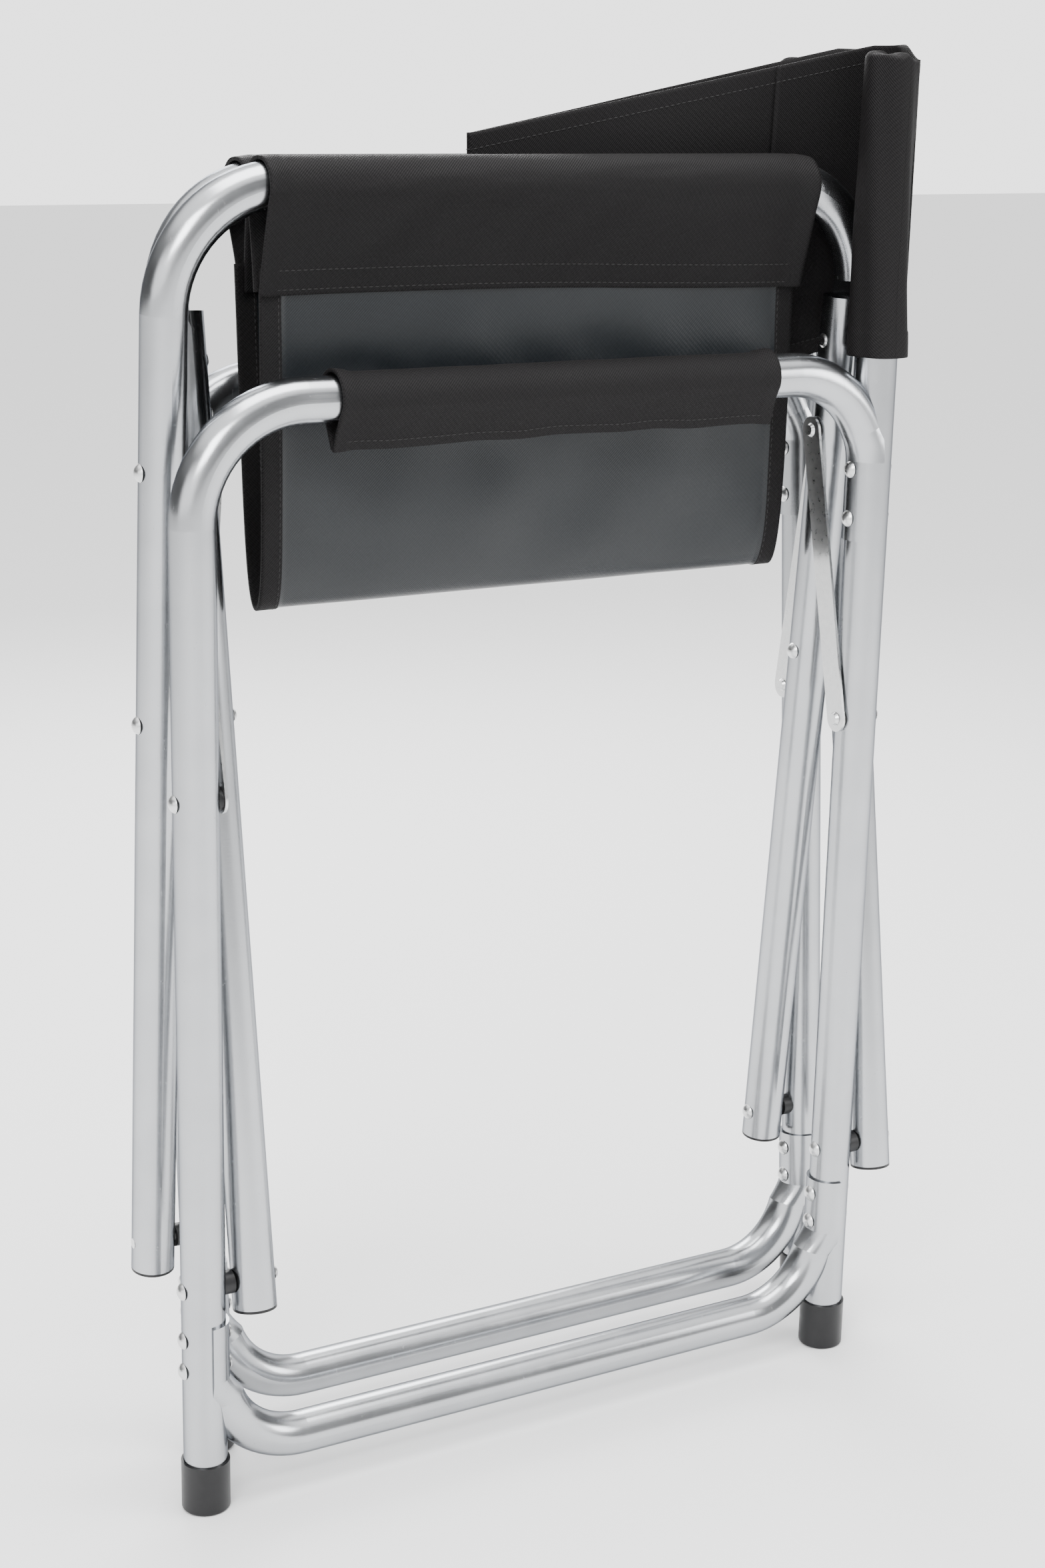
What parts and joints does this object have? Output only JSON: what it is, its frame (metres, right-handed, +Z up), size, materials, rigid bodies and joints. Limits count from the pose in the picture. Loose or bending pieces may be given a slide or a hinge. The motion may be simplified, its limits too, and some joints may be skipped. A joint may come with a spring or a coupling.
{
  "type": "folding camp chair",
  "caption": "Folded aluminium camp chair: bent tube side frames, crossed seat frames on rivets, flat links, cloth seat, back and arm sleeves.",
  "frame": {"origin": "centre of the folded chair's box at floor level", "axes": "+Z up, -Y the chair's front, +X the side called near"},
  "size_m": [0.1594, 0.497, 0.8038],
  "materials": {
    "tube": "satin, drawn and lightly brushed",
    "zinc_steel": "zinc plated",
    "black_plastic": "semi-gloss moulded",
    "black_cloth": "coated twill",
    "grey_cloth": "coated, fine grain"
  },
  "bodies": {
    "near_side": {"near_front_leg_and_armrest": "tube", "near_back_post": "tube", "near_stretcher": "tube", "near_front_foot": "black_plastic", "near_rear_foot": "black_plastic", "near_lap_rivets": "zinc_steel", "near_arm_sleeve": "black_cloth", "near_back_sleeve": "black_cloth", "near_side_link_rivets": "zinc_steel", "near_side_link_washers": "black_plastic", "near_bottom_pivot_rivets": "zinc_steel", "near_bottom_pivot_spacers": "black_plastic"},
    "far_seat_frame": {"far_seat_rail_and_leg": "tube", "far_lapped_leg": "tube", "far_rail_rivets": "zinc_steel", "far_leg_plugs": "black_plastic", "far_seat_link_rivets": "zinc_steel", "far_seat_link_washers": "black_plastic"},
    "near_seat_frame": {"near_seat_rail_and_leg": "tube", "near_lapped_leg": "tube", "near_rail_rivets": "zinc_steel", "near_leg_plugs": "black_plastic", "near_seat_link_rivets": "zinc_steel", "near_seat_link_washers": "black_plastic", "crossing_pivot_rivets": "zinc_steel", "crossing_pivot_spacers": "black_plastic"},
    "far_side": {"far_front_leg_and_armrest": "tube", "far_back_post": "tube", "far_stretcher": "tube", "far_front_foot": "black_plastic", "far_rear_foot": "black_plastic", "far_lap_rivets": "zinc_steel", "far_arm_sleeve": "black_cloth", "far_back_sleeve": "black_cloth", "far_side_link_rivets": "zinc_steel", "far_side_link_washers": "black_plastic", "far_bottom_pivot_rivets": "zinc_steel", "far_bottom_pivot_spacers": "black_plastic"},
    "near_front_link": {"near_front_link": "zinc_steel", "near_front_link_rivet_end": "zinc_steel"},
    "near_rear_link": {"near_rear_link": "zinc_steel", "near_rear_link_rivet_end": "zinc_steel"},
    "far_front_link": {"far_front_link": "zinc_steel", "far_front_link_rivet_end": "zinc_steel"},
    "far_rear_link": {"far_rear_link": "zinc_steel", "far_rear_link_rivet_end": "zinc_steel"},
    "near_seat_cloth": {"near_seat_cloth": "grey_cloth"},
    "far_seat_cloth": {"far_seat_cloth": "grey_cloth"},
    "far_seat_sleeve": {"far_seat_sleeve": "black_cloth"},
    "near_back_cloth": {"near_back_cloth": "black_cloth"},
    "far_back_cloth": {"far_back_cloth": "black_cloth"}
  },
  "joints": [
    {"name": "fold", "type": "hinge", "parent": "near_side", "child": "far_seat_frame", "pos_m": [0.0376, -0.0035, 0.1368], "axis": [0, -1, 0], "range_deg": [0, 52.85]},
    {"name": "cross_turn", "type": "hinge", "parent": "far_seat_frame", "child": "near_seat_frame", "pos_m": [0, -0.0035, 0.45146], "axis": [0, 1, 0], "range_deg": [0, 105.69]},
    {"name": "far_side_turn", "type": "hinge", "parent": "near_seat_frame", "child": "far_side", "pos_m": [-0.0376, -0.0035, 0.1368], "axis": [0, -1, 0], "range_deg": [0, 52.85]},
    {"name": "near_front_link_turn", "type": "hinge", "parent": "near_side", "child": "near_front_link", "pos_m": [0.04931, -0.0035, 0.41856], "axis": [0, -1, 0], "range_deg": [0, 96.42]},
    {"name": "near_rear_link_turn", "type": "hinge", "parent": "near_side", "child": "near_rear_link", "pos_m": [0.04931, -0.0035, 0.41856], "axis": [0, -1, 0], "range_deg": [0, 96.42]},
    {"name": "far_front_link_turn", "type": "hinge", "parent": "far_side", "child": "far_front_link", "pos_m": [-0.04931, -0.0035, 0.41856], "axis": [0, 1, 0], "range_deg": [0, 96.42]},
    {"name": "far_rear_link_turn", "type": "hinge", "parent": "far_side", "child": "far_rear_link", "pos_m": [-0.04931, -0.0035, 0.41856], "axis": [0, 1, 0], "range_deg": [0, 96.42]},
    {"name": "near_seat_cloth_turn", "type": "hinge", "parent": "near_seat_frame", "child": "near_seat_cloth", "pos_m": [0.03393, -0.0035, 0.73544], "axis": [0, 1, 0], "range_deg": [0, 20.95], "deforming": ["near_seat_cloth"]},
    {"name": "seat_fold", "type": "hinge", "parent": "near_seat_cloth", "child": "far_seat_cloth", "pos_m": [0, -0.0035, 0.48826], "axis": [0, -1, 0], "range_deg": [0, 147.6], "deforming": ["far_seat_cloth"]},
    {"name": "far_seat_sleeve_turn", "type": "hinge", "parent": "far_seat_frame", "child": "far_seat_sleeve", "pos_m": [-0.03393, -0.0035, 0.73544], "axis": [0, -1, 0], "range_deg": [0, 20.95], "deforming": ["far_seat_sleeve"]},
    {"name": "near_back_cloth_turn", "type": "hinge", "parent": "near_side", "child": "near_back_cloth", "pos_m": [0.04711, 0.2185, 0.7193], "axis": [-0.0415, 0, -0.9991], "range_deg": [0, 90.19], "deforming": ["near_back_cloth"]},
    {"name": "back_fold", "type": "hinge", "parent": "near_back_cloth", "child": "far_back_cloth", "pos_m": [0, -0.048, 0.7193], "axis": [0, -0.0415, 0.9991], "range_deg": [0, 174.59], "deforming": ["far_back_cloth"]}
  ],
  "couplings": [
    {"joint": "cross_turn", "follows": "fold", "ratio": 2},
    {"joint": "far_side_turn", "follows": "fold", "ratio": 1},
    {"joint": "near_front_link_turn", "follows": "fold", "ratio": 1.8245},
    {"joint": "near_rear_link_turn", "follows": "fold", "ratio": 1.8245},
    {"joint": "far_front_link_turn", "follows": "fold", "ratio": 1.8245},
    {"joint": "far_rear_link_turn", "follows": "fold", "ratio": 1.8245},
    {"joint": "near_seat_cloth_turn", "follows": "fold", "ratio": 0.39648},
    {"joint": "seat_fold", "follows": "fold", "ratio": 2.793},
    {"joint": "far_seat_sleeve_turn", "follows": "fold", "ratio": 0.39648},
    {"joint": "near_back_cloth_turn", "follows": "fold", "ratio": 1.7065},
    {"joint": "back_fold", "follows": "fold", "ratio": 3.3037}
  ]
}
